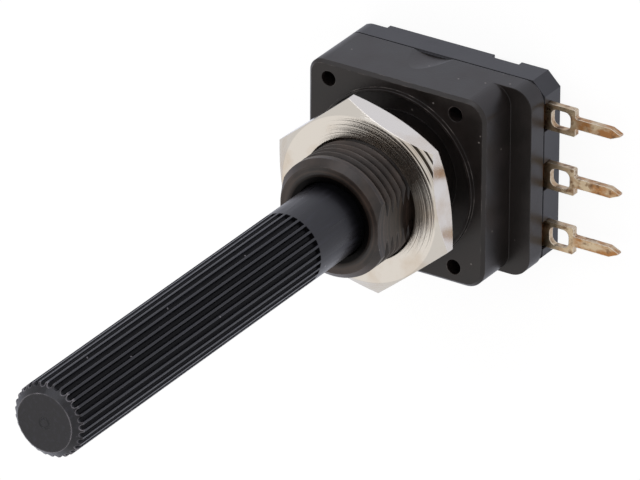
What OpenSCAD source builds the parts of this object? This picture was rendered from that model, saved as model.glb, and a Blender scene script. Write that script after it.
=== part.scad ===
// Rotary potentiometer, 16 mm class: moulded housing with its threaded bush, ribbed 6 mm shaft,
// three flat terminals and a hexagon nut. Millimetres. Z runs along the shaft, towards the knob.
// Z is 0 on the front face of the housing, and the terminals point along -Y, spaced along X.

/* [Housing] */
// Width of the housing across the terminals, along X
body_width = 15.8; // [14:0.1:20]
// Reach of the housing above the shaft axis, along +Y
body_above = 7.8; // [7.3:0.1:10]
// Reach of the front block below the shaft axis, along -Y
block_below = 8.0; // [7.6:0.1:9]
// Reach of the shoulder that carries the terminals, along -Y
shoulder_below = 9.85; // [9.6:0.05:12]
// Depth from the front face to the back of the rear cover
body_depth = 7.9; // [7.5:0.1:10]
// Thickness of the rear cover, from its joint with the housing to its back
cover_thickness = 2.4; // [2.2:0.1:2.6]
// Thickness of the shoulder, from the foot of the front block to the joint
shoulder_thickness = 1.8; // [1.5:0.1:2]
// Radius of the two upper upright corners, of the housing and the cover
corner_radius = 1.2; // [0.5:0.1:1.4]
// Radius of the two lower upright corners of the housing, on the block and on the shoulder
lower_radius = 1.65; // [0.6:0.05:1.8]
// Bevel of the two lower corners of the cover
corner_bevel = 1.1; // [0.5:0.1:1.3]
// Small bevel round the front face
face_bevel = 0.25; // [0.1:0.05:0.4]
// Depth of the prying scallop in each side, at the joint with the cover
scallop_depth = 0.2; // [0.1:0.05:0.4]
// Radius of the scallops
scallop_radius = 7.5; // [4:0.5:12]
// Depth below the front face at which the scallops run out
scallop_end = 2.8; // [1:0.1:4]
// Radius of the holes for the locking posts of the cover
post_hole = 0.62; // [0.5:0.01:0.7]

/* [Seat and bush] */
// Outside radius of the raised seat ring on the front face
seat_radius = 7.1; // [7:0.05:7.3]
// Width of the seat ring
seat_width = 0.2; // [0.15:0.05:0.5]
// Height of the seat ring above the front face
seat_height = 0.4; // [0.2:0.05:0.8]
// Depth of the moat between the seat ring and the bush
moat_depth = 1.0; // [0.4:0.1:1.2]
// Outside radius of the bush over the thread
bush_radius = 4.9; // [4.8:0.05:5]
// Length of the bush from the front face
bush_length = 9.35; // [8:0.05:12]
// Plain length at the foot of the bush, for the hole of the panel
bush_plain = 2.4; // [1.8:0.1:2.5]
// Thread pitch of the bush and the nut
thread_pitch = 0.75; // [0.5:0.05:1]
// Depth of the thread
thread_depth = 0.45; // [0.3:0.05:0.5]
// Distance from the axis to the two flats along the thread
bush_flat = 4.35; // [4.25:0.05:4.6]
// Bevel at the end of the bush
bush_bevel = 0.5; // [0.2:0.05:0.6]
// Widening of the bush mouth, measured on the radius
mouth_bevel = 0.65; // [0.3:0.05:0.8]
// Depth of the shallow widening of the mouth
mouth_depth = 0.15; // [0.1:0.05:0.6]

/* [Shaft] */
// Length of the shaft from the front face to its tip
shaft_length = 48; // [16:1:80]
// Radius of the shaft over its ribs
shaft_radius = 3.0; // [2.9:0.05:3]
// Number of ribs round the shaft
rib_count = 30; // [18:1:40]
// Depth of the grooves between the ribs
rib_depth = 0.25; // [0.15:0.05:0.35]
// Radius of the round bottom of a groove
groove_radius = 0.22; // [0.15:0.01:0.25]
// Height above the front face where the ribs start
rib_start = 15.2; // [13:0.1:20]
// Bevel at the tip of the shaft
tip_bevel = 0.65; // [0.3:0.05:0.8]
// Radius of the flange that holds the shaft in the housing
flange_radius = 4.2; // [3.8:0.1:4.6]
// Radius of the pilot that runs in the rear cover
pilot_radius = 1.5; // [1.2:0.1:1.7]

/* [Turning] */
// Total turn between the two stops, in degrees
turn_angle = 300; // [240:5:310]
// Half width of the fixed stop, in degrees
stop_half_angle = 12; // [8:1:14]
// Radius of the wiper track, to its middle line
track_radius = 5.5; // [5.3:0.05:5.6]
// Width of the wiper track
track_width = 1.4; // [1:0.1:1.6]

/* [Terminals] */
// Spacing of the terminals
terminal_pitch = 5.0; // [4.8:0.1:5.1]
// Width of the flat part of a terminal
tag_width = 2.25; // [2:0.05:2.6]
// Distance from the axis to the end of the flat part
tag_end = 12.3; // [12:0.1:14]
// Width of the pin of a terminal
pin_width = 0.85; // [0.6:0.05:1.2]
// Distance from the axis to the point of the pin
pin_end = 16.25; // [14:0.05:20]
// Thickness of the terminal metal
terminal_metal = 0.5; // [0.3:0.05:0.5]
// Distance from the front surface of the terminals to the back of the cover
terminal_back = 1.83; // [1.7:0.01:1.9]
// Width of the solder hole
eye_width = 1.5; // [1:0.05:1.6]
// Length of the solder hole
eye_length = 1.7; // [1.5:0.05:1.8]
// Radius of the corners of the solder hole
eye_corner = 0.5; // [0.2:0.05:0.7]
// Distance from the axis to the middle of the solder hole
eye_place = 11.03; // [10.9:0.05:11.1]

/* [Inside] */
// Height of the chamber in which the rotor turns, from the roof to the board
chamber_height = 2.4; // [2.3:0.05:2.5]
// Thickness of the element board
board_thickness = 1.17; // [0.8:0.01:1.2]
// Room for the spring washer between the roof and the flange
washer_room = 0.25; // [0.2:0.01:0.3]
// Thickness of the flange of the shaft
flange_thickness = 0.6; // [0.5:0.05:0.7]
// Thickness of the rotor
rotor_thickness = 0.7; // [0.6:0.05:0.75]
// Reach of the stop lug beyond the edge of the rotor
lug_reach = 1.3; // [1:0.1:1.4]
// Thickness of the wiper metal
wiper_metal = 0.15; // [0.1:0.01:0.2]
// Radius of the body of a rivet
rivet_r = 0.6; // [0.5:0.05:0.65]
// Radius of the head of a rivet
rivet_head = 0.85; // [0.75:0.05:0.85]
// Thickness of the head of a rivet
head_thick = 0.25; // [0.2:0.01:0.3]

/* [Nut] */
// How much narrower than the housing the nut is, across its flats
nut_margin = 1.9; // [1.4:0.1:3.9]
// Thickness of the nut
nut_thickness = 2.1; // [1.5:0.1:3]
// Height of the nut's underside above the front face
nut_height = 3.05; // [1:0.05:7]
// Turn of the nut about the axis, in degrees
nut_turn = 10; // [0:1:60]

/* [Fits] */
// Radial gap of a running fit
running_gap = 0.05; // [0.02:0.01:0.08]
// Gap round a piece that is set into a seat
seat_gap = 0.05; // [0.02:0.01:0.08]
// Gap between the wiper tips and what they slide on
contact_gap = 0.02; // [0.01:0.01:0.04]

/* [Hidden] */
$fn = 96;
e = 0.01;
half = body_width / 2;
post_x = half - 1.42;
post_up = body_above - 1.82;
post_low = block_below - 2.65;
post_r = post_hole - seat_gap;
bore = shaft_radius + running_gap * 2;
journal = shaft_radius + running_gap;
journal_top = bush_length - 3.4;
joint_depth = body_depth - cover_thickness;
shoulder_depth = joint_depth - shoulder_thickness;
terminal_depth = body_depth - terminal_back;
board_top = terminal_depth - board_thickness;
roof = board_top - chamber_height;
flange_top = roof + washer_room;
flange_under = flange_top + flange_thickness;
rotor_under = flange_under + rotor_thickness;
film = 0.05;
film_top = board_top - film;
rotor_radius = track_radius - 0.2;
lug_radius = rotor_radius + lug_reach;
cavity = lug_radius + 0.15;
board_radius = cavity + 0.25;
key_radius = shaft_radius - 0.6;
key_flat = key_radius - 0.5;
key_under = film_top - 0.4;
tongue_half = terminal_pitch + 1.5;
tongue_in = post_low + post_hole + 0.6;
neck_half = post_x - post_hole - 0.6;
tongue_out = shoulder_below - 0.65;
tail_in = tongue_out - 2.0;
rivet_y = tongue_out - 0.95;
pad_r = rivet_head + 0.07;
peg_x = track_radius * 0.655;
tail_under = terminal_depth + terminal_metal;
cover_floor = tail_under + head_thick + 0.08;
pilot_end = body_depth - 0.65;
boss_top = terminal_depth + 0.13;
lug_half_angle = (360 - turn_angle) / 2 - stop_half_angle - 0.5;
track_gap = (360 - turn_angle) / 2 + 2;
nut_across = body_width - nut_margin;
nut_bore = bush_radius + running_gap;
ridge_count = floor((bush_length - bush_bevel - bush_plain) / thread_pitch);

// Outline with round corners above and bevelled corners below.
module cover_outline(inset, c) {
    h = half - inset;
    up = body_above - inset;
    low = shoulder_below - inset;
    r = corner_radius - inset;
    polygon([[-h + r, up], [h - r, up], [h, up - r], [h, -low + c], [h - c, -low],
        [-h + c, -low], [-h, -low + c], [-h, up - r]]);
    for (x = [-1, 1]) translate([x * (h - r), up - r]) circle(r);
}

// The same outline with its lower corners rounded too, as the shoulder of the housing has them.
module shoulder_outline() {
    r = lower_radius;
    cover_outline(0, r);
    for (x = [-1, 1]) translate([x * (half - r), r - shoulder_below]) circle(r);
}

// Half of the block's side view, from the middle out to one face, with its bevel.
module half_side(reach) {
    d = shoulder_depth + e;
    b = face_bevel;
    polygon([[-e, -d], [reach, -d], [reach, -b], [reach - b, 0], [-e, 0]]);
}

// Upright round corner of the block, with the bevel of the front face.
module block_corner(r) {
    d = shoulder_depth + e;
    rotate_extrude() polygon([[0, -d], [r, -d], [r, -face_bevel], [r - face_bevel, 0], [0, 0]]);
}

// Front block: its upper corners are rounder or sharper than its lower ones.
module front_block() {
    // one side: how far it reaches along Y, the radius of its corners, and its direction
    for (side = [[body_above, corner_radius, 1], [block_below, lower_radius, -1]]) {
        reach = side[0];
        r = side[1];
        mirror([0, side[2] > 0 ? 0 : 1, 0]) {
            rotate([90, 0, 90]) translate([0, 0, -half + r]) linear_extrude(body_width - 2 * r)
                half_side(reach);
            for (x = [-1, 1]) {
                translate([0, reach - r, 0]) rotate([90, 0, 0]) linear_extrude(reach - r + e)
                    mirror([x > 0 ? 0 : 1, 0]) half_side(half);
                translate([x * (half - r), reach - r, 0]) block_corner(r);
            }
        }
    }
}

// Scallop in each side, deepest at the joint with the cover and running out towards the front.
module scallops() {
    lean = atan(scallop_depth / (joint_depth - scallop_end));
    for (s = [-1, 1]) translate([s * (half - scallop_depth + scallop_radius), 0, -joint_depth])
        rotate([0, s * lean, 0]) translate([0, 0, -1])
        cylinder(r = scallop_radius, h = joint_depth + 2, $fn = 200);
}

// Bush with its thread, the two flats along it and the bevel at its end, as one turned profile.
module bush() {
    root = bush_radius - thread_depth;
    top = bush_length - bush_bevel;
    difference() {
        rotate_extrude() difference() {
            polygon([[0, -moat_depth - e], [bush_radius, -moat_depth - e], [bush_radius, top],
                [bush_radius - bush_bevel, bush_length], [0, bush_length]]);
            for (i = [0 : ridge_count - 1]) translate([0, bush_plain + (i + 0.5) * thread_pitch])
                polygon([[bush_radius + e, -thread_pitch * 0.44], [root, -0.06], [root, 0.06],
                    [bush_radius + e, thread_pitch * 0.44]]);
        }
        for (s = [-1, 1]) translate([-bush_radius, s > 0 ? bush_flat : -bush_flat - 1, bush_plain])
            cube([2 * bush_radius, 1, bush_length]);
    }
}

// Plan of the tongue for the terminals, with the neck that joins it to the board between the posts.
module tongue_outline(gap) {
    translate([-tongue_half - gap, -tongue_out - gap])
        square([2 * (tongue_half + gap), tongue_out - tongue_in + gap]);
    translate([-neck_half - gap, -tongue_in - e]) square([2 * (neck_half + gap), tongue_in / 2]);
}

// Plan of the element board, grown by a gap for its seat.
module board_outline(gap) {
    circle(board_radius + gap);
    tongue_outline(gap);
}

// A ring sector, from the inner to the outer radius, between two angles, as a solid.
module sector(inner, outer, from, to, low, high) {
    rotate([0, 0, from]) rotate_extrude(angle = to - from)
        translate([inner, low]) square([outer - inner, high - low]);
}

// The places of the four locking posts.
module at_posts() {
    for (x = [-post_x, post_x], y = [-post_low, post_up]) translate([x, y, 0]) children();
}

module front_housing() color("#2b2827") {
    difference() {
        union() {
            difference() {
                union() {
                    front_block();
                    translate([0, 0, -joint_depth]) linear_extrude(joint_depth - shoulder_depth)
                        shoulder_outline();
                }
                scallops();
                translate([0, 0, -moat_depth]) cylinder(r = seat_radius - seat_width, h = moat_depth + 1);
            }
            rotate_extrude() translate([seat_radius - seat_width, -moat_depth - e])
                square([seat_width, seat_height + moat_depth + e]);
            bush();
        }
        // bore for the shaft, widened at its mouth
        translate([0, 0, -roof - 1]) cylinder(r = bore, h = roof + bush_length + 2);
        rotate_extrude() polygon([[0, bush_length - mouth_depth], [bore, bush_length - mouth_depth],
            [bore + mouth_bevel, bush_length], [bore + mouth_bevel, bush_length + 1], [0, bush_length + 1]]);
        // chamber of the rotor
        translate([0, 0, -board_top - e]) cylinder(r = cavity, h = board_top - roof + e);
        // seat of the board, open to the cover, and the room above the rivets
        translate([0, 0, -joint_depth - 1]) linear_extrude(joint_depth - board_top + 1)
            board_outline(seat_gap);
        translate([0, 0, -board_top - e]) linear_extrude(film + head_thick + 0.15 + e)
            tongue_outline(seat_gap);
        // holes for the locking posts of the cover
        at_posts() translate([0, 0, -joint_depth - 1]) cylinder(r = post_hole, h = joint_depth + 2);
    }
    // fixed stop, hanging from the roof of the chamber
    sector(rotor_radius + 0.25, cavity + 0.2, -90 - stop_half_angle, -90 + stop_half_angle,
        -rotor_under + 0.1, -roof + 0.1);
}

module rear_cover() color("#35353a") {
    wall = joint_depth + 0.14;
    difference() {
        union() {
            translate([0, 0, -body_depth]) linear_extrude(body_depth - wall)
                cover_outline(0, corner_bevel);
            // narrow shadow line under the joint
            translate([0, 0, -wall - e]) linear_extrude(wall - joint_depth + e)
                cover_outline(0.1, corner_bevel);
        }
        // seat of the board
        translate([0, 0, -terminal_depth]) linear_extrude(terminal_depth) board_outline(seat_gap);
        // room behind the board, and the pilot's hole in the floor
        translate([0, 0, -cover_floor]) cylinder(r = board_radius - 0.8, h = cover_floor);
        translate([0, 0, -pilot_end - 0.1]) cylinder(r = pilot_radius + running_gap, h = pilot_end);
        for (i = [-1, 0, 1]) {
            // way out of a terminal
            translate([i * terminal_pitch - tag_width / 2 - seat_gap, -shoulder_below - 1, -tail_under])
                cube([tag_width + 2 * seat_gap, shoulder_below + 1 - tail_in + seat_gap, tail_under]);
            // room for the head of its rivet
            translate([i * terminal_pitch, -rivet_y, -cover_floor])
                cylinder(r = rivet_head + 0.1, h = cover_floor);
        }
        // relief round each locking post, open to the side, given by its place and its radius
        for (s = [-1, 1], relief = [[0.15 - post_low, 1.2], [post_up + 0.45, 1.05]]) {
            y = relief[0];
            r = relief[1];
            translate([s * post_x, y, -body_depth - 1]) cylinder(r = r, h = 1.45);
            translate([s > 0 ? post_x : -half - 1, y - r, -body_depth - 1])
                cube([half + 1 - post_x, 2 * r, 1.45]);
        }
    }
    // boss with the blind hole in which the pilot runs
    difference() {
        translate([0, 0, -cover_floor - e]) cylinder(r = pilot_radius + 1.1, h = cover_floor - boss_top + e);
        translate([0, 0, -pilot_end - 0.1]) cylinder(r = pilot_radius + running_gap, h = pilot_end);
    }
    at_posts() translate([0, 0, -joint_depth - e]) cylinder(r = post_r, h = joint_depth - 1.7);
}

// Board with its tongue for the terminals, the hole for the pilot and three rivet holes.
module element_board() color("#8a6238") {
    translate([0, 0, -terminal_depth]) linear_extrude(terminal_depth - board_top) difference() {
        board_outline(0);
        circle(pilot_radius + 1.4);
        for (i = [-1, 0, 1]) translate([i * terminal_pitch, -rivet_y]) circle(rivet_r);
    }
}

// Printed horseshoe on which the wiper runs.
module resistive_track() color("#1a1a1c") {
    inner = track_radius - track_width / 2;
    sector(inner, inner + track_width, -90 + track_gap, 270 - track_gap, -board_top, -film_top);
}

// Printed ring round the middle, with the lead to the middle terminal.
module collector_track() color("#a8a8a4") {
    translate([0, 0, -board_top]) linear_extrude(film) difference() {
        union() {
            circle(track_radius - track_width / 2 - 0.8);
            translate([-0.6, -rivet_y]) square([1.2, rivet_y - pilot_radius - 1.5]);
            translate([0, -rivet_y]) circle(pad_r);
        }
        circle(pilot_radius + 1.5);
        translate([0, -rivet_y]) circle(rivet_r);
    }
}

// Printed pad between one end of the horseshoe and the rivet of its terminal.
module end_pad(s) {
    inner = track_radius - track_width / 2;
    end = -90 + track_gap;
    eye = [terminal_pitch, -rivet_y];
    start = track_radius * [cos(end - 7), sin(end - 7)];
    lead = eye - start;
    mirror([s < 0 ? 1 : 0, 0, 0]) {
        sector(inner, inner + track_width, end - 14, end, -board_top, -film_top);
        translate([0, 0, -board_top]) linear_extrude(film) difference() {
            union() {
                translate(start) rotate(atan2(lead[1], lead[0])) translate([0, -0.6])
                    square([norm(lead), 1.2]);
                translate(eye) circle(pad_r);
            }
            translate(eye) circle(rivet_r);
        }
    }
}

module end_pad_1() color("#a8a8a4") end_pad(-1);
module end_pad_3() color("#a8a8a4") end_pad(1);

// Stamped terminal: tail under the board, eye for the wire, shoulders and a tapered pin.
module terminal(i) {
    w = tag_width / 2;
    p = pin_width / 2;
    r = min(eye_corner, eye_width / 2 - 0.02, eye_length / 2 - 0.02);
    ex = eye_width / 2 - r;
    ey = eye_length / 2 - r;
    translate([i * terminal_pitch, 0, -tail_under]) linear_extrude(terminal_metal) difference() {
        polygon([[-w, -tail_in], [w, -tail_in], [w, -tag_end + 0.1], [w - 0.1, -tag_end],
            [p + 0.1, -tag_end], [p, -tag_end - 0.1], [p, -pin_end + 0.8], [p * 0.15, -pin_end],
            [-p * 0.15, -pin_end], [-p, -pin_end + 0.8], [-p, -tag_end - 0.1], [-p - 0.1, -tag_end],
            [-w + 0.1, -tag_end], [-w, -tag_end + 0.1]]);
        translate([0, -eye_place]) {
            square([eye_width, 2 * ey], center = true);
            square([2 * ex, eye_length], center = true);
            for (x = [-ex, ex], y = [-ey, ey]) translate([x, y]) circle(r);
        }
        translate([0, -rivet_y]) circle(rivet_r);
    }
}

module terminal_1() color("#b08a5a") terminal(-1);
module terminal_2() color("#b08a5a") terminal(0);
module terminal_3() color("#b08a5a") terminal(1);

// Tubular rivet through the terminal, the board and the printed pad, with both heads.
module rivet(i) {
    translate([i * terminal_pitch, -rivet_y, 0]) rotate_extrude() polygon([
        [0.25, -tail_under - head_thick], [rivet_head - 0.08, -tail_under - head_thick],
        [rivet_head, -tail_under - head_thick + 0.08], [rivet_head, -tail_under],
        [rivet_r, -tail_under], [rivet_r, -film_top], [rivet_head, -film_top],
        [rivet_head, -film_top + 0.1], [rivet_r, -film_top + head_thick],
        [0.4, -film_top + head_thick], [0.25, -film_top]]);
}

module rivet_1() color("#b8ad98") rivet(-1);
module rivet_2() color("#b8ad98") rivet(0);
module rivet_3() color("#b8ad98") rivet(1);

// Section of the ribbed part of the shaft: round-bottomed grooves leave straight ribs between them.
module ribbed_section() {
    step = 360 / rib_count;
    difference() {
        circle(shaft_radius);
        for (k = [0 : rib_count - 1]) rotate(4 + (k + 0.5) * step)
            translate([shaft_radius - rib_depth + groove_radius, 0]) circle(groove_radius, $fn = 32);
    }
}

module shaft() color("#2b2b30") {
    flat = shaft_radius - tip_bevel;
    intersection() {
        translate([0, 0, rib_start - e]) linear_extrude(shaft_length - rib_start + e) ribbed_section();
        rotate_extrude() polygon([[0, rib_start - 1], [shaft_radius + 1, rib_start - 1],
            [shaft_radius + 1, shaft_length - tip_bevel - 1], [flat, shaft_length], [0.5, shaft_length],
            [0.45, shaft_length - 0.05], [0.35, shaft_length - 0.05], [0.3, shaft_length],
            [0, shaft_length]]);
    }
    rotate_extrude() polygon([[0, -pilot_end], [pilot_radius - 0.2, -pilot_end],
        [pilot_radius, -pilot_end + 0.2], [pilot_radius, -key_under + e], [0, -key_under + e]]);
    // double-flatted key that turns the rotor
    translate([0, 0, -key_under]) linear_extrude(key_under - flange_under + e) intersection() {
        circle(key_radius);
        square([2 * key_radius, 2 * key_flat], center = true);
    }
    rotate_extrude() polygon([[0, -flange_under], [flange_radius, -flange_under],
        [flange_radius, -flange_top], [journal, -flange_top], [journal, journal_top - 0.1],
        [shaft_radius, journal_top], [shaft_radius, rib_start], [0, rib_start]]);
}

// Wiper carrier: disc with the stop lug, keyed on the shaft, and two pegs for the wiper.
module rotor() color("#d8d2c0") {
    difference() {
        union() {
            translate([0, 0, -rotor_under]) cylinder(r = rotor_radius, h = rotor_under - flange_under);
            sector(rotor_radius - 0.5, lug_radius, 90 - lug_half_angle, 90 + lug_half_angle,
                -rotor_under, -flange_under);
            at_pegs() translate([0, 0, -rotor_under - wiper_metal - 0.15])
                cylinder(r = 0.4, h = wiper_metal + 0.15 + e);
        }
        translate([0, 0, -rotor_under - 1]) linear_extrude(3) intersection() {
            circle(key_radius + seat_gap / 2);
            square([2 * key_radius + 1, 2 * key_flat + seat_gap], center = true);
        }
    }
}

module at_pegs() {
    for (x = [-peg_x, peg_x]) translate([x, -peg_x / 3, 0]) children();
}

// Spring finger along X, seen from its side: flat root, slope and round tip on the track.
module finger(length, width) {
    low = film_top - contact_gap;
    high = rotor_under;
    t = wiper_metal;
    tip = 0.3;
    rotate([90, 0, 0]) translate([0, 0, -width / 2]) linear_extrude(width) {
        polygon([[length, -high], [length, -high - t], [length - 0.5, -high - t],
            [tip * 0.8, -low + tip * 0.4], [0, -low + tip * 0.6 ], [0.1, -low + tip + 0.05],
            [length - 0.5 + t * 0.3, -high]]);
        intersection() {
            difference() {
                translate([0, -low + tip]) circle(tip);
                translate([0, -low + tip]) circle(tip - t);
            }
            translate([-tip - 1, -low - 1]) square([tip + 1 + tip * 0.9, 1 + tip * 0.95]);
        }
    }
}

// Stamped wiper: plate under the rotor, twin fingers on the horseshoe, one on the ring.
module wiper_spring() color("#c9b98c") {
    inner_y = (track_radius - track_width / 2 - 0.8 + pilot_radius + 1.5) / 2;
    translate([0, 0, -rotor_under - wiper_metal]) linear_extrude(wiper_metal) difference() {
        union() {
            circle(track_radius - 1.0);
            translate([2.1, 1.5]) square([0.8, track_radius + 0.35 - 1.5]);
        }
        circle(key_radius + 0.05);
        translate([-1.2, -inner_y - 0.45]) square([3.1, 0.9]);
        at_pegs() circle(0.42);
    }
    for (y = [-0.26, 0.26]) translate([0, track_radius + y, 0]) finger(2.2, 0.4);
    translate([-0.2, -inner_y, 0]) finger(2.3, 0.5);
}

// Slightly coned washer that keeps the flange of the shaft from rattling.
module spring_washer() color("#b9a06a") {
    t = 0.12;
    rotate_extrude() polygon([[journal + 0.2, -flange_top + contact_gap],
        [journal + 0.2, -flange_top + contact_gap + t], [flange_radius - 0.05, -roof],
        [flange_radius - 0.05, -roof - t]]);
}

// Hexagon nut, bevelled at 30 degrees on both faces, with the edges of its bore just broken.
module hex_nut() color("#c9c6c0") {
    r = nut_across / sqrt(3);
    c = nut_across / 2 - 0.1;
    t = nut_thickness;
    translate([0, 0, nut_height]) difference() {
        intersection() {
            rotate([0, 0, nut_turn]) cylinder(r = r, h = t, $fn = 6);
            rotate_extrude() polygon([[0, 0], [c, 0], [c + t / 2 / tan(30), t / 2], [c, t], [0, t]]);
        }
        translate([0, 0, -1]) cylinder(r = nut_bore, h = t + 2);
        for (s = [0, 1]) translate([0, 0, s * t]) mirror([0, 0, s]) rotate_extrude()
            polygon([[0, -1], [nut_bore + 0.1 + 1, -1], [nut_bore, 0.1], [0, 0.1]]);
    }
}

front_housing();
rear_cover();
element_board();
resistive_track();
collector_track();
end_pad_1();
end_pad_3();
terminal_1();
terminal_2();
terminal_3();
rivet_1();
rivet_2();
rivet_3();
shaft();
rotor();
wiper_spring();
spring_washer();
hex_nut();
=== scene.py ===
# %% [markdown]
# # A rotary potentiometer under studio light
#
# The object is a 16 mm panel control: a black moulded housing with a threaded bush, a nickel-plated
# nut, a long ribbed shaft and three brass terminals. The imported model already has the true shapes, in
# metres, so this lesson is mostly about finishes: how each piece was made, what that gives the eye,
# and which few nodes draw it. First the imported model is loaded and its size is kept.

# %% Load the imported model
import bpy
import numpy as np
from mathutils import Matrix, Vector


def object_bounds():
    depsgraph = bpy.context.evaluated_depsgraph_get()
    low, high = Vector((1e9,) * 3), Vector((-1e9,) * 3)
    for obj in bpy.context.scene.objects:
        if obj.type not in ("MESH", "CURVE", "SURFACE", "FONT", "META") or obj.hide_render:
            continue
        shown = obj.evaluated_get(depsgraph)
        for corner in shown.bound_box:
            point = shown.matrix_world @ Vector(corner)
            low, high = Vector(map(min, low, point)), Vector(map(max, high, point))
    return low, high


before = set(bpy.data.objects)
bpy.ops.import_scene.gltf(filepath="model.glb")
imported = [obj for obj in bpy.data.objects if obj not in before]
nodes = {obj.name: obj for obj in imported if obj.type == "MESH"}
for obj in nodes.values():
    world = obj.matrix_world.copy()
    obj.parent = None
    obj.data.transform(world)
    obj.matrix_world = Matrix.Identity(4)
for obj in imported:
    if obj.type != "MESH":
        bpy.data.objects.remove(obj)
cad_box = [list(corner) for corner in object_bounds()]
print("nodes:", len(nodes), "box in mm:", [[round(v * 1000, 2) for v in c] for c in cad_box])

# %% [markdown]
# ## The camera
#
# The photograph was taken with a long lens from the knob's side, with the shaft coming towards the
# lower left. Matching known points of the object to their places in the picture gave the distance,
# the direction and the lens. The three rows below are the directions of the picture's right, down and
# forward, in the object's own axes. Blender's camera looks along its own minus Z, with Y up.

# %% Camera
MM = 0.001
camera_place = (0.35217, -0.36882, 0.59623)
right = Vector((0.0047, -0.84488, -0.53493))
down = Vector((-0.89066, -0.24675, 0.38190))
forward = Vector((-0.45465, 0.47465, -0.75366))

camera = bpy.data.objects.new("camera", bpy.data.cameras.new("camera"))
bpy.context.scene.collection.objects.link(camera)
turn = Matrix((right, -down, -forward)).transposed()
camera.matrix_world = Matrix.Translation(camera_place) @ turn.to_4x4()
camera.data.sensor_width = 36.0
camera.data.lens = 579.94
camera.data.clip_start = 0.01
camera.data.clip_end = 20.0
bpy.context.scene.camera = camera
print("camera distance in mm:", round(Vector(camera_place).length / MM))

# %% [markdown]
# ## Small helpers for every material
#
# Colours are written as the hex values one would pick from a picture, and one function turns them to
# the linear light that the renderer works in. A second function adds one node with its settings and
# its inputs, where an input is either a value or another node's output. Two nodes take their inputs
# by number here: Map Range reads input 0 between 1 and 2 and gives it between 3 and 4, and a colour
# Mix has its factor at 0, its colours at 6 and 7, and its result at output 2.

# %% Colour and node
bpy.context.scene.view_settings.view_transform = "Standard"


def linear(code, alpha=1.0):
    """sRGB hex to linear: c / 12.92 below 0.04045, else ((c + 0.055) / 1.055) to the power 2.4."""
    c = np.array([int(code[i:i + 2], 16) for i in (1, 3, 5)]) / 255
    low, high = c / 12.92, ((c + 0.055) / 1.055) ** 2.4
    return (*np.where(c <= 0.04045, low, high).tolist(), alpha)


def add(tree, kind, inputs=None, **settings):
    """One node: settings are its attributes, inputs are values or other nodes' outputs."""
    made = tree.nodes.new(kind)
    for name, value in settings.items():
        setattr(made, name, value)
    for socket, value in (inputs or {}).items():
        if isinstance(value, bpy.types.NodeSocket):
            tree.links.new(value, made.inputs[socket])
        else:
            made.inputs[socket].default_value = value
    return made


print("#808080 in linear light:", round(linear("#808080")[0], 3))

# %% [markdown]
# Patterns are sized from real millimetres. Object coordinates are metres, so `per` turns the size of
# one feature to a texture's scale, and `between` gives the two ends that a Map Range reads. Then come
# an empty material, and the function that gives a finished one to the nodes it is for: their meshes
# stay as they are, and only their material slots are filled.

# %% Scale, material and node


def per(size_mm):
    """Texture scale at which one feature is size_mm long: 1 over its size in metres."""
    return 1000.0 / size_mm


def between(low_mm, high_mm):
    """Inputs 1 and 2 of a Map Range, from millimetres to metres."""
    return {1: low_mm * MM, 2: high_mm * MM}


def blank(name):
    """A new material with an empty node tree."""
    material = bpy.data.materials.new(name)
    material.use_nodes = True
    material.node_tree.nodes.clear()
    return material, material.node_tree


def dress(names, material):
    """Gives each named CAD node this one material."""
    for name in names:
        slots = nodes[name].data.materials
        slots.clear()
        slots.append(material)
    print(material.name, "->", ", ".join(names))


print("scale of a 0.16 mm grain:", round(per(0.16)))

# %% [markdown]
# Handling rubs edges before it rubs faces. Blender's Bevel node gives the normal that a slightly
# rounded edge would have, and where this leaves the true normal there is an edge. Noise keeps the
# rubs in patches, and the height along the shaft's axis keeps them to the part that is handled.

# %% Rubbed edges
EDGE_STARTS, EDGE_FULL = 0.99, 0.93
print("edges turn the normal by", np.degrees(np.arccos((EDGE_STARTS, EDGE_FULL))).round(1), "degrees")


def worn_edges(tree, place, reach_mm, above_mm, patch_mm, low, high):
    """Mask of rubbed edges: edge times patch times front.

    The edge is the cosine between true and rounded normal, from 0 at 0.99 to 1 at 0.93. The patch is
    noise, from 0 at low to 1 at high. The front is 0 below above_mm and 1 from there on.
    """
    true = add(tree, "ShaderNodeNewGeometry").outputs["Normal"]
    rounded = add(tree, "ShaderNodeBevel", {"Radius": reach_mm * MM}, samples=8).outputs["Normal"]
    cosine = add(tree, "ShaderNodeVectorMath", {0: true, 1: rounded},
                 operation="DOT_PRODUCT").outputs["Value"]
    edge = add(tree, "ShaderNodeMapRange",
               {0: cosine, 1: EDGE_STARTS, 2: EDGE_FULL, 3: 0.0, 4: 1.0}).outputs[0]
    rubs = add(tree, "ShaderNodeTexNoise",
               {"Vector": place, "Scale": per(patch_mm), "Detail": 3.0}).outputs["Fac"]
    patch = add(tree, "ShaderNodeMapRange", {0: rubs, 1: low, 2: high}).outputs[0]
    height = add(tree, "ShaderNodeSeparateXYZ", {0: place}).outputs["Z"]
    front = add(tree, "ShaderNodeMapRange", {0: height, **between(above_mm - 0.1, above_mm)}).outputs[0]
    there = add(tree, "ShaderNodeMath", {0: edge, 1: patch}, operation="MULTIPLY").outputs[0]
    return add(tree, "ShaderNodeMath", {0: there, 1: front}, operation="MULTIPLY").outputs[0]


# %% [markdown]
# ## Marks and painted shade on the bush
#
# The nut has run over the bush many times and left it browner, in faint rings. Its mouth is painted
# dark and dull, as painted shade round the shaft. Distance to the axis and height above the front face,
# which are the object's own coordinates, say where each mark is, so the marks hold from every side.

# %% Bush marks and painted shade
BUSH_FOOT_MM = (0.8, 1.2)
BUSH_END_MM = (9.0, 9.1)
MOUTH_RADIUS_MM = (3.5, 3.8)
print("bush brown from", BUSH_FOOT_MM[0], "mm, mouth within", MOUTH_RADIUS_MM[1], "mm of the axis")


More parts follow.
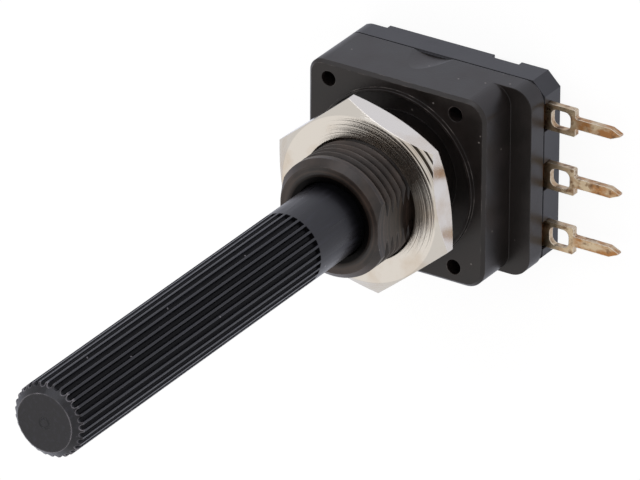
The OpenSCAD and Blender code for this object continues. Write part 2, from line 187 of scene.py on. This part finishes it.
def bush_marks_and_mouth_shade(tree, place, colour):
    """Colour and specular level of the bush.

    The rings are noise over distance to the axis plus height, so they go round both face and thread.
    The mouth is what lies within its radius of the axis, at the end of the bush; painted shade
    makes it near-black and dull there.
    """
    flat = add(tree, "ShaderNodeVectorMath", {0: place, 1: (1.0, 1.0, 0.0)}, operation="MULTIPLY")
    reach = add(tree, "ShaderNodeVectorMath", {0: flat.outputs[0]}, operation="LENGTH").outputs["Value"]
    height = add(tree, "ShaderNodeSeparateXYZ", {0: place}).outputs["Z"]
    along = add(tree, "ShaderNodeMath", {0: reach, 1: height}, operation="ADD").outputs[0]
    rings = add(tree, "ShaderNodeTexNoise", {"W": along, "Scale": per(0.25), "Detail": 3.0},
                noise_dimensions="1D").outputs["Fac"]
    cloud = add(tree, "ShaderNodeTexNoise", {"Vector": place, "Scale": per(2.5), "Detail": 3.0})
    both = add(tree, "ShaderNodeMath", {0: rings, 1: cloud.outputs["Fac"]}, operation="ADD").outputs[0]
    streak = add(tree, "ShaderNodeMapRange", {0: both, 1: 0.85, 2: 1.2, 3: 0.1, 4: 1.0}).outputs[0]
    above = add(tree, "ShaderNodeMapRange", {0: height, **between(*BUSH_FOOT_MM)}).outputs[0]
    brown = add(tree, "ShaderNodeMath", {0: streak, 1: above}, operation="MULTIPLY").outputs[0]
    tinted = add(tree, "ShaderNodeMix", {0: brown, 6: colour, 7: linear("#42362f")}, data_type="RGBA")
    inner = add(tree, "ShaderNodeMapRange",
                {0: reach, **between(*MOUTH_RADIUS_MM), 3: 1.0, 4: 0.0}).outputs[0]
    top = add(tree, "ShaderNodeMapRange", {0: height, **between(*BUSH_END_MM)}).outputs[0]
    mouth = add(tree, "ShaderNodeMath", {0: inner, 1: top}, operation="MULTIPLY").outputs[0]
    # Painted shade: the mouth is darkened to near-black and its specular level lowered.
    shaded_mouth = add(tree, "ShaderNodeMix", {0: mouth, 6: tinted.outputs[2], 7: linear("#050404")},
                 data_type="RGBA")
    shine = add(tree, "ShaderNodeMapRange", {0: mouth, 3: 0.5, 4: 0.1})
    return shaded_mouth.outputs[2], shine.outputs[0]


# %% [markdown]
# ## Moulded housing
#
# Housing and bush are one moulding in black polyester (PBT) with glass fibre. The mould is eroded by
# sparks, which leaves a fine satin grain of about 0.1 mm, drawn here at 0.16 mm so that it shows. The
# glass gives faint warm clouds some 2 mm long, and handling leaves a little pale dust. Edges catch the
# light because a moulding never has a knife edge, so a Bevel node rounds the normals by 0.08 mm, and
# in patches the edges are rubbed a little paler.

# %% Moulded plastic


def moulded(name, base, cloud, grain_mm, grain_depth_mm, roughness, dust, bush=False):
    """Satin plastic: cloudy colour, fine grain in the normal, soft rubbed edges and scattered dust."""
    material, tree = blank(name)
    place = add(tree, "ShaderNodeTexCoord").outputs["Object"]
    clouds = add(tree, "ShaderNodeTexNoise", {"Vector": place, "Scale": per(2.2), "Detail": 3.0})
    tint = add(tree, "ShaderNodeMapRange", {0: clouds.outputs["Fac"], 1: 0.35, 2: 0.65})
    body = add(tree, "ShaderNodeMix", {0: tint.outputs[0], 6: linear(base), 7: linear(cloud)},
               data_type="RGBA")
    specks = add(tree, "ShaderNodeTexVoronoi", {"Vector": place, "Scale": per(1.6)})
    near = add(tree, "ShaderNodeMapRange",
               {0: specks.outputs["Distance"], 1: 0.035, 2: 0.06, 3: dust, 4: 0.0})
    dusty = add(tree, "ShaderNodeMix", {0: near.outputs[0], 6: body.outputs[2], 7: linear("#8a8480")},
                data_type="RGBA")
    grain = add(tree, "ShaderNodeTexNoise", {"Vector": place, "Scale": per(grain_mm), "Detail": 2.0})
    edge = add(tree, "ShaderNodeBevel", {"Radius": 0.08 * MM}, samples=8)
    worn = worn_edges(tree, place, reach_mm=0.1, above_mm=-0.3, patch_mm=1.3, low=0.5, high=0.68)
    rubbed = add(tree, "ShaderNodeMix", {0: worn, 6: dusty.outputs[2], 7: linear("#6e6662")},
                 data_type="RGBA")
    bump = add(tree, "ShaderNodeBump", {"Height": grain.outputs["Fac"], "Distance": grain_depth_mm * MM,
                                        "Strength": 1.0, "Normal": edge.outputs["Normal"]})
    rough = add(tree, "ShaderNodeMapRange", {0: clouds.outputs["Fac"], 1: 0.3, 2: 0.7,
                                             3: roughness - 0.05, 4: roughness + 0.05})
    inputs = {"Base Color": rubbed.outputs[2], "Roughness": rough.outputs[0], "IOR": 1.5,
              "Normal": bump.outputs["Normal"]}
    # On the bush: faint brown rings of wear, and painted shade in its mouth.
    if bush:
        inputs["Base Color"], inputs["Specular IOR Level"] = bush_marks_and_mouth_shade(tree, place, rubbed.outputs[2])
    shader = add(tree, "ShaderNodeBsdfPrincipled", inputs)
    add(tree, "ShaderNodeOutputMaterial", {"Surface": shader.outputs[0]})
    return material


dress(["front_housing"], moulded("black_glass_filled_polyester", "#161210", "#1f1917", grain_mm=0.16,
                                 grain_depth_mm=0.005, roughness=0.36, dust=0.6, bush=True))

# %% [markdown]
# The rear cover comes from another mould and another batch: the same plastic, a little more blue and
# grey, with a shallower grain and less dust.

# %% Rear cover
dress(["rear_cover"], moulded("dark_grey_polyester", "#232327", "#2a2a2f", grain_mm=0.16,
                              grain_depth_mm=0.004, roughness=0.36, dust=0.3))

# %% [markdown]
# ## Ribbed shaft
#
# The shaft is moulded acetal, a slippery blue-black plastic. The grooves keep the dull skin of the
# mould while fingers rub the crests and the tip to a gloss, and the grooves are painted darker too, as
# painted shade. The distance to the axis, 2.8 mm in a groove and 3 mm on a crest, tells them apart.
# Next to the bush, the last millimetre of the shaft is painted just as dark and dull: painted shade.

# %% Polished parts and painted shade of the shaft
GROOVE_TO_CREST_MM = (2.82, 2.97)
TIP_MM = (47.3, 47.6)
# Height band next to the bush over which the painted shade fades out.
BUSH_SHADE_MM = (9.8, 10.9)
print("polished above", BUSH_SHADE_MM[1], "mm and over a radius of", GROOVE_TO_CREST_MM[1], "mm")


def polish_and_shade(tree, reach, place):
    """Mask: 1 on rubbed crests and tip, 0 in grooves and next to the bush, where shade is painted."""
    crest = add(tree, "ShaderNodeMapRange", {0: reach, **between(*GROOVE_TO_CREST_MM)}).outputs[0]
    height = add(tree, "ShaderNodeSeparateXYZ", {0: place}).outputs["Z"]
    tip = add(tree, "ShaderNodeMapRange", {0: height, **between(*TIP_MM)}).outputs[0]
    handled = add(tree, "ShaderNodeMath", {0: crest, 1: tip}, operation="MAXIMUM").outputs[0]
    clear_of_bush_shade = add(tree, "ShaderNodeMapRange", {0: height, **between(*BUSH_SHADE_MM)}).outputs[0]
    return add(tree, "ShaderNodeMath", {0: handled, 1: clear_of_bush_shade}, operation="MULTIPLY").outputs[0]


# %% [markdown]
# Acetal takes a smoother gloss than the housing, and it shows long fine scuffs where the shaft was
# pulled from the mould and handled. A Mapping node draws the noise out along Z for these. The rim of
# the tip is rubbed pale in places, and some dust lies on the ribs.

# %% Shaft plastic


def acetal(name, base, worn, roughness):
    """Smooth plastic: lengthwise scuffs, painted shade in dull grooves, soft edges, pale rim, scattered
    dust.
    """
    material, tree = blank(name)
    place = add(tree, "ShaderNodeTexCoord").outputs["Object"]
    drawn = add(tree, "ShaderNodeMapping", {"Vector": place, "Scale": (1.0, 1.0, 0.08)})
    scuffs = add(tree, "ShaderNodeTexNoise",
                 {"Vector": drawn.outputs[0], "Scale": per(0.35), "Detail": 4.0})
    mask = add(tree, "ShaderNodeMapRange", {0: scuffs.outputs["Fac"], 1: 0.52, 2: 0.75})
    body = add(tree, "ShaderNodeMix", {0: mask.outputs[0], 6: linear(base), 7: linear(worn)},
               data_type="RGBA")
    edge = add(tree, "ShaderNodeBevel", {"Radius": 0.06 * MM}, samples=8)
    rubbed_edge = worn_edges(tree, place, reach_mm=0.18, above_mm=47.2, patch_mm=1.6, low=0.38, high=0.58)
    specks = add(tree, "ShaderNodeTexVoronoi", {"Vector": place, "Scale": per(1.8)}).outputs["Distance"]
    dust = add(tree, "ShaderNodeMapRange", {0: specks, 1: 0.03, 2: 0.055, 3: 0.8, 4: 0.0}).outputs[0]
    flat = add(tree, "ShaderNodeVectorMath", {0: place, 1: (1.0, 1.0, 0.0)}, operation="MULTIPLY")
    reach = add(tree, "ShaderNodeVectorMath", {0: flat.outputs[0]}, operation="LENGTH").outputs["Value"]
    polished = polish_and_shade(tree, reach, place)
    # Grooves and the band next to the bush get this near-black colour and less gloss: painted shade.
    deep = add(tree, "ShaderNodeMix", {0: polished, 6: linear("#0a0a0c"), 7: body.outputs[2]},
               data_type="RGBA")
    gloss = add(tree, "ShaderNodeMapRange", {0: polished, 3: 0.08, 4: 0.5}).outputs[0]
    rim = add(tree, "ShaderNodeMapRange", {0: reach, **between(1.2, 1.8)}).outputs[0]
    rubbed_rim = add(tree, "ShaderNodeMath", {0: rubbed_edge, 1: rim}, operation="MULTIPLY").outputs[0]
    pale = add(tree, "ShaderNodeMath", {0: rubbed_rim, 1: dust}, operation="MAXIMUM").outputs[0]
    rubbed = add(tree, "ShaderNodeMix", {0: pale, 6: deep.outputs[2], 7: linear("#8d898e")},
                 data_type="RGBA")
    bump = add(tree, "ShaderNodeBump", {"Height": scuffs.outputs["Fac"], "Distance": 0.004 * MM,
                                        "Strength": 1.0, "Normal": edge.outputs["Normal"]})
    rough = add(tree, "ShaderNodeMapRange", {0: scuffs.outputs["Fac"], 1: 0.3, 2: 0.7,
                                             3: roughness - 0.04, 4: roughness + 0.08})
    shader = add(tree, "ShaderNodeBsdfPrincipled", {
        "Base Color": rubbed.outputs[2], "Roughness": rough.outputs[0], "IOR": 1.48,
        "Specular IOR Level": gloss, "Normal": bump.outputs["Normal"]})
    add(tree, "ShaderNodeOutputMaterial", {"Surface": shader.outputs[0]})
    return material


dress(["shaft"], acetal("blue_black_acetal", "#15151b", "#25252e", roughness=0.3))

# %% [markdown]
# ## Nickel-plated nut
#
# The nut is turned from brass bar and plated with bright nickel, a warm white metal. On one corner the
# tool chattered and left dark cuts in the chamfer. Chamfer, face and drawn side differ in how steeply
# their normal points along Z, and the corner is found by its distance to one point.

# %% Chattered corner
CHATTER_CORNER_MM = (5.0, -5.5, 4.2)
FADE_MM = (2.0, 2.8)
print("chattered corner at", CHATTER_CORNER_MM, "mm")


def chattered(tree, place, reach, steep, turned, colour):
    """Dark cuts: noise over the distance to the axis, on the chamfer only and near one corner only."""
    tilted = add(tree, "ShaderNodeMapRange", {0: steep, 1: 0.98, 2: 0.94, 3: 0.0, 4: 1.0}).outputs[0]
    apart = add(tree, "ShaderNodeVectorMath", {0: place, 1: tuple(c * MM for c in CHATTER_CORNER_MM)},
                operation="DISTANCE").outputs["Value"]
    near = add(tree, "ShaderNodeMapRange", {0: apart, **between(*FADE_MM), 3: 1.0, 4: 0.0}).outputs[0]
    lines = add(tree, "ShaderNodeTexNoise", {"W": reach, "Scale": per(0.3), "Detail": 2.0},
                noise_dimensions="1D").outputs["Fac"]
    cuts = add(tree, "ShaderNodeMapRange", {0: lines, 1: 0.48, 2: 0.54}).outputs[0]
    corner = add(tree, "ShaderNodeMath", {0: tilted, 1: near}, operation="MULTIPLY").outputs[0]
    facing = add(tree, "ShaderNodeMath", {0: corner, 1: turned}, operation="MULTIPLY").outputs[0]
    chatter = add(tree, "ShaderNodeMath", {0: facing, 1: cuts}, operation="MULTIPLY").outputs[0]
    marked = add(tree, "ShaderNodeMix", {0: chatter, 6: colour, 7: linear("#3c362e")}, data_type="RGBA")
    return marked.outputs[2]


# %% [markdown]
# Turning leaves fine rings round the bore on both faces, about 0.05 mm apart; here they are 0.18 mm,
# the finest that shows. They are noise over the distance to the shaft's axis, which is the object's
# own Z axis, and they stop at the six drawn sides. Old fingerprints leave faint brown stains.

# %% Plated nut


def plated(name, base, stain, roughness, ring_mm, ring_depth_mm):
    """Bright metal with turned rings round the Z axis, faint brown stains and cuts on one corner."""
    material, tree = blank(name)
    place = add(tree, "ShaderNodeTexCoord").outputs["Object"]
    flat = add(tree, "ShaderNodeVectorMath", {0: place, 1: (1.0, 1.0, 0.0)}, operation="MULTIPLY")
    reach = add(tree, "ShaderNodeVectorMath", {0: flat.outputs[0]}, operation="LENGTH").outputs["Value"]
    rings = add(tree, "ShaderNodeTexNoise", {"W": reach, "Scale": per(ring_mm), "Detail": 4.0,
                                             "Roughness": 0.65}, noise_dimensions="1D")
    clouds = add(tree, "ShaderNodeTexNoise", {"Vector": place, "Scale": per(3.0), "Detail": 4.0})
    spot = add(tree, "ShaderNodeMapRange", {0: clouds.outputs["Fac"], 1: 0.5, 2: 0.75})
    body = add(tree, "ShaderNodeMix", {0: spot.outputs[0], 6: linear(base), 7: linear(stain)},
               data_type="RGBA")
    edge = add(tree, "ShaderNodeBevel", {"Radius": 0.1 * MM}, samples=8)
    true = add(tree, "ShaderNodeNewGeometry").outputs["Normal"]
    upward = add(tree, "ShaderNodeSeparateXYZ", {0: true}).outputs["Z"]
    steep = add(tree, "ShaderNodeMath", {0: upward}, operation="ABSOLUTE").outputs[0]
    turned = add(tree, "ShaderNodeMapRange", {0: steep, 1: 0.3, 2: 0.45}).outputs[0]
    marked = chattered(tree, place, reach, steep, turned, body.outputs[2])
    bump = add(tree, "ShaderNodeBump", {"Height": rings.outputs["Fac"], "Distance": ring_depth_mm * MM,
                                        "Strength": turned, "Normal": edge.outputs["Normal"]})
    rough = add(tree, "ShaderNodeMapRange", {0: clouds.outputs["Fac"], 1: 0.3, 2: 0.7,
                                             3: roughness, 4: roughness + 0.08})
    shader = add(tree, "ShaderNodeBsdfPrincipled", {
        "Base Color": marked, "Metallic": 1.0, "Roughness": rough.outputs[0],
        "Normal": bump.outputs["Normal"]})
    add(tree, "ShaderNodeOutputMaterial", {"Surface": shader.outputs[0]})
    return material


dress(["hex_nut"], plated("bright_nickel_plate", "#e4dfd6", "#d4c6b4", roughness=0.11,
                          ring_mm=0.18, ring_depth_mm=0.018))

# %% [markdown]
# ## Brass terminals
#
# The terminals are stamped from brass strip with a thin tin coat. Where the coat is worn and warmed
# by soldering the brass shows through in brown and orange patches, mostly on the pins, and the patches
# are drawn out along them. The sheared edges stay bright, so they get the pale rim from the same mask
# of rubbed edges. The hidden rivets, wiper and washer are metal strip too, in other tones.

# %% Terminals
PIN_MM = (-12.8, -12.0)
EVERYWHERE_MM = -50.0
print("patches are strongest past", PIN_MM[0], "mm along Y")


def strip(name, base, patch, dark, rim, roughness, patch_mm):
    """Tarnished metal strip: pale coat, coloured patches, darker spots and bare bright edges."""
    material, tree = blank(name)
    place = add(tree, "ShaderNodeTexCoord").outputs["Object"]
    drawn = add(tree, "ShaderNodeMapping", {"Vector": place, "Scale": (1.0, 0.55, 1.0)}).outputs[0]
    blotch = add(tree, "ShaderNodeTexNoise", {"Vector": drawn, "Scale": per(patch_mm), "Detail": 5.0,
                                              "Roughness": 0.6})
    outward = add(tree, "ShaderNodeSeparateXYZ", {0: place}).outputs["Y"]
    warmed = add(tree, "ShaderNodeMapRange", {0: outward, **between(*PIN_MM), 3: 1.0, 4: 0.45})
    patches = add(tree, "ShaderNodeMapRange", {0: blotch.outputs["Fac"], 1: 0.42, 2: 0.6,
                                               4: warmed.outputs[0]})
    first = add(tree, "ShaderNodeMix", {0: patches.outputs[0], 6: linear(base), 7: linear(patch)},
                data_type="RGBA")
    spots = add(tree, "ShaderNodeTexNoise",
                {"Vector": place, "Scale": per(patch_mm * 0.7), "Detail": 4.0})
    deep = add(tree, "ShaderNodeMapRange", {0: spots.outputs["Fac"], 1: 0.52, 2: 0.7})
    second = add(tree, "ShaderNodeMix", {0: deep.outputs[0], 6: first.outputs[2], 7: linear(dark)},
                 data_type="RGBA")
    rubbed = worn_edges(tree, place, reach_mm=0.09, above_mm=EVERYWHERE_MM, patch_mm=1.0,
                        low=0.3, high=0.55)
    body = add(tree, "ShaderNodeMix", {0: rubbed, 6: second.outputs[2], 7: linear(rim)},
               data_type="RGBA")
    edge = add(tree, "ShaderNodeBevel", {"Radius": 0.05 * MM}, samples=6)
    bump = add(tree, "ShaderNodeBump", {"Height": spots.outputs["Fac"], "Distance": 0.01 * MM,
                                        "Strength": 1.0, "Normal": edge.outputs["Normal"]})
    rough = add(tree, "ShaderNodeMapRange", {0: blotch.outputs["Fac"], 1: 0.3, 2: 0.7,
                                             3: roughness, 4: roughness + 0.15})
    shader = add(tree, "ShaderNodeBsdfPrincipled", {
        "Base Color": body.outputs[2], "Metallic": 1.0, "Roughness": rough.outputs[0],
        "Normal": bump.outputs["Normal"]})
    add(tree, "ShaderNodeOutputMaterial", {"Surface": shader.outputs[0]})
    return material


dress(["terminal_1", "terminal_2", "terminal_3"],
      strip("tinned_brass", "#d0bd9f", "#b07f51", "#7d5f45", "#f2e9d8", roughness=0.24, patch_mm=0.8))
dress(["rivet_1", "rivet_2", "rivet_3"],
      strip("plated_rivet", "#cfc6b4", "#b7a98c", "#8d7f66", "#dcd4c4", roughness=0.3, patch_mm=1.0))
dress(["wiper_spring", "spring_washer"],
      strip("nickel_silver", "#c9c0a4", "#b9ab86", "#94855f", "#d6ceb6", roughness=0.25, patch_mm=2.0))

# %% [markdown]
# ## Inside: rotor, board and printed tracks
#
# The element board is brown phenolic laminate, pressed from paper, so it has fine fibres along X. The
# carbon track is printed ink, matt and slightly grainy, and the pads and the ring are silver ink. The
# rotor is acetal in its natural milky white.

# %% Board, tracks and rotor


def printed(name, base, fleck, roughness, metallic, stretch, grain_mm):
    """Pressed or printed layer: flecks in two colours, drawn out along X by stretch, in slight relief."""
    material, tree = blank(name)
    place = add(tree, "ShaderNodeTexCoord").outputs["Object"]
    drawn = add(tree, "ShaderNodeMapping", {"Vector": place, "Scale": (stretch, 1.0, 1.0)})
    flecks = add(tree, "ShaderNodeTexNoise",
                 {"Vector": drawn.outputs[0], "Scale": per(grain_mm), "Detail": 4.0})
    mask = add(tree, "ShaderNodeMapRange", {0: flecks.outputs["Fac"], 1: 0.4, 2: 0.65})
    body = add(tree, "ShaderNodeMix", {0: mask.outputs[0], 6: linear(base), 7: linear(fleck)},
               data_type="RGBA")
    bump = add(tree, "ShaderNodeBump",
               {"Height": flecks.outputs["Fac"], "Distance": 0.008 * MM, "Strength": 1.0})
    shader = add(tree, "ShaderNodeBsdfPrincipled", {
        "Base Color": body.outputs[2], "Metallic": metallic, "Roughness": roughness,
        "Normal": bump.outputs["Normal"]})
    add(tree, "ShaderNodeOutputMaterial", {"Surface": shader.outputs[0]})
    return material


dress(["rotor"], printed("natural_acetal", "#cfc8b8", "#d8d2c4", roughness=0.4, metallic=0.0,
                         stretch=1.0, grain_mm=0.6))
dress(["element_board"], printed("phenolic_laminate", "#7a5230", "#946a42", roughness=0.5,
                                 metallic=0.0, stretch=0.2, grain_mm=0.5))
dress(["resistive_track"], printed("carbon_ink", "#151516", "#222224", roughness=0.55, metallic=0.0,
                                   stretch=1.0, grain_mm=0.2))
dress(["collector_track", "end_pad_1", "end_pad_3"],
      printed("silver_ink", "#a9a9a5", "#bdbdb8", roughness=0.42, metallic=1.0, stretch=1.0,
              grain_mm=0.2))

# %% [markdown]
# ## Floor
#
# The floor is white paper just under the object, and takes a faint shadow. For the camera, and in
# mirrors, it glows almost white, so that the paper blends with the background, while the light it
# gives back to the object stays that of plain paper. Seen from below it is clear, so that the back of
# the control can be looked at too.

# %% Floor
floor_z = cad_box[0][2] - 0.05 * MM
half_side = 1.5
floor_mesh = bpy.data.meshes.new("floor")
floor_mesh.from_pydata([(-half_side, -half_side, floor_z), (half_side, -half_side, floor_z),
                        (half_side, half_side, floor_z), (-half_side, half_side, floor_z)],
                       [], [(0, 1, 2, 3)])
floor = bpy.data.objects.new("floor", floor_mesh)
bpy.context.scene.collection.objects.link(floor)
print("floor at z in mm:", round(floor_z / MM, 2))

# %% Paper
paper, tree = blank("white_paper")
matt = add(tree, "ShaderNodeBsdfDiffuse", {"Color": linear("#e8e8e8")})
faint = add(tree, "ShaderNodeBsdfDiffuse", {"Color": linear("#6a6a6a")})
path = add(tree, "ShaderNodeLightPath")
shade = add(tree, "ShaderNodeMix", {0: path.outputs["Is Camera Ray"], 6: linear("#e4e6f2"),
                                    7: linear("#ffffff")}, data_type="RGBA")
glow = add(tree, "ShaderNodeEmission", {"Color": shade.outputs[2], "Strength": 0.9})
seen = add(tree, "ShaderNodeAddShader", {0: faint.outputs[0], 1: glow.outputs[0]})
either = add(tree, "ShaderNodeMath", {0: path.outputs["Is Camera Ray"], 1: path.outputs["Is Glossy Ray"]},
             operation="MAXIMUM")
any_of = add(tree, "ShaderNodeMath", {0: either.outputs[0], 1: path.outputs["Is Transmission Ray"]},
             operation="MAXIMUM")
choice = add(tree, "ShaderNodeMixShader", {0: any_of.outputs[0], 1: matt.outputs[0], 2: seen.outputs[0]})
below = add(tree, "ShaderNodeNewGeometry").outputs["Backfacing"]
clear = add(tree, "ShaderNodeBsdfTransparent")
sided = add(tree, "ShaderNodeMixShader", {0: below, 1: choice.outputs[0], 2: clear.outputs[0]})
add(tree, "ShaderNodeOutputMaterial", {"Surface": sided.outputs[0]})
floor_mesh.materials.append(paper)
print("paper glow:", round(glow.inputs["Strength"].default_value, 2))

# %% [markdown]
# ## World
#
# Product pictures of small black parts are taken in a white tent, with soft light from all sides. The
# world is that tent. The camera sees it as pure white, while the object is lit by it a little less.

# %% World
world = bpy.data.worlds.new("tent")
bpy.context.scene.world = world
world.use_nodes = True
tree = world.node_tree
tree.nodes.clear()
path = add(tree, "ShaderNodeLightPath")
either = add(tree, "ShaderNodeMath",
             {0: path.outputs["Is Camera Ray"], 1: path.outputs["Is Transmission Ray"]},
             operation="MAXIMUM")
tent = add(tree, "ShaderNodeBackground", {"Color": linear("#f4f2f2"), "Strength": 0.82})
white = add(tree, "ShaderNodeBackground", {"Color": (1.0, 1.0, 1.0, 1.0), "Strength": 1.0})
choice = add(tree, "ShaderNodeMixShader", {0: either.outputs[0], 1: tent.outputs[0], 2: white.outputs[0]})
add(tree, "ShaderNodeOutputWorld", {"Surface": choice.outputs[0]})
print("tent strength:", round(tent.inputs["Strength"].default_value, 2))

# %% [markdown]
# ## Lamps
#
# Two large soft boxes give the light a direction: a cool one beside the housing, which brightens its
# upper side in the picture, and a weaker warm one behind, for the faces of the nut. A lamp adds to the
# world behind it in a mirror, so both are weak enough for the nickel not to clip.

# %% Soft boxes
aim = Vector((0.0, -0.004, 0.012))


def soft_lamp(name, towards, distance, side, power, tint):
    """A square area lamp at aim + distance times its direction, turned to face the object."""
    lamp = bpy.data.objects.new(name, bpy.data.lights.new(name, "AREA"))
    bpy.context.scene.collection.objects.link(lamp)
    lamp.data.shape = "SQUARE"
    lamp.data.size = side
    lamp.data.energy = power
    lamp.data.color = linear(tint)[:3]
    direction = Vector(towards).normalized()
    lamp.matrix_world = (Matrix.Translation(aim + direction * distance)
                         @ direction.to_track_quat("Z", "Y").to_matrix().to_4x4())
    print(name, "at", [round(v, 2) for v in lamp.location])


soft_lamp("top_box", (0.8, 0.1, 0.5), distance=0.7, side=0.5, power=0.9, tint="#eceffa")
soft_lamp("back_box", (-0.45, 0.47, 0.75), distance=0.8, side=0.7, power=0.25, tint="#fff6ee")
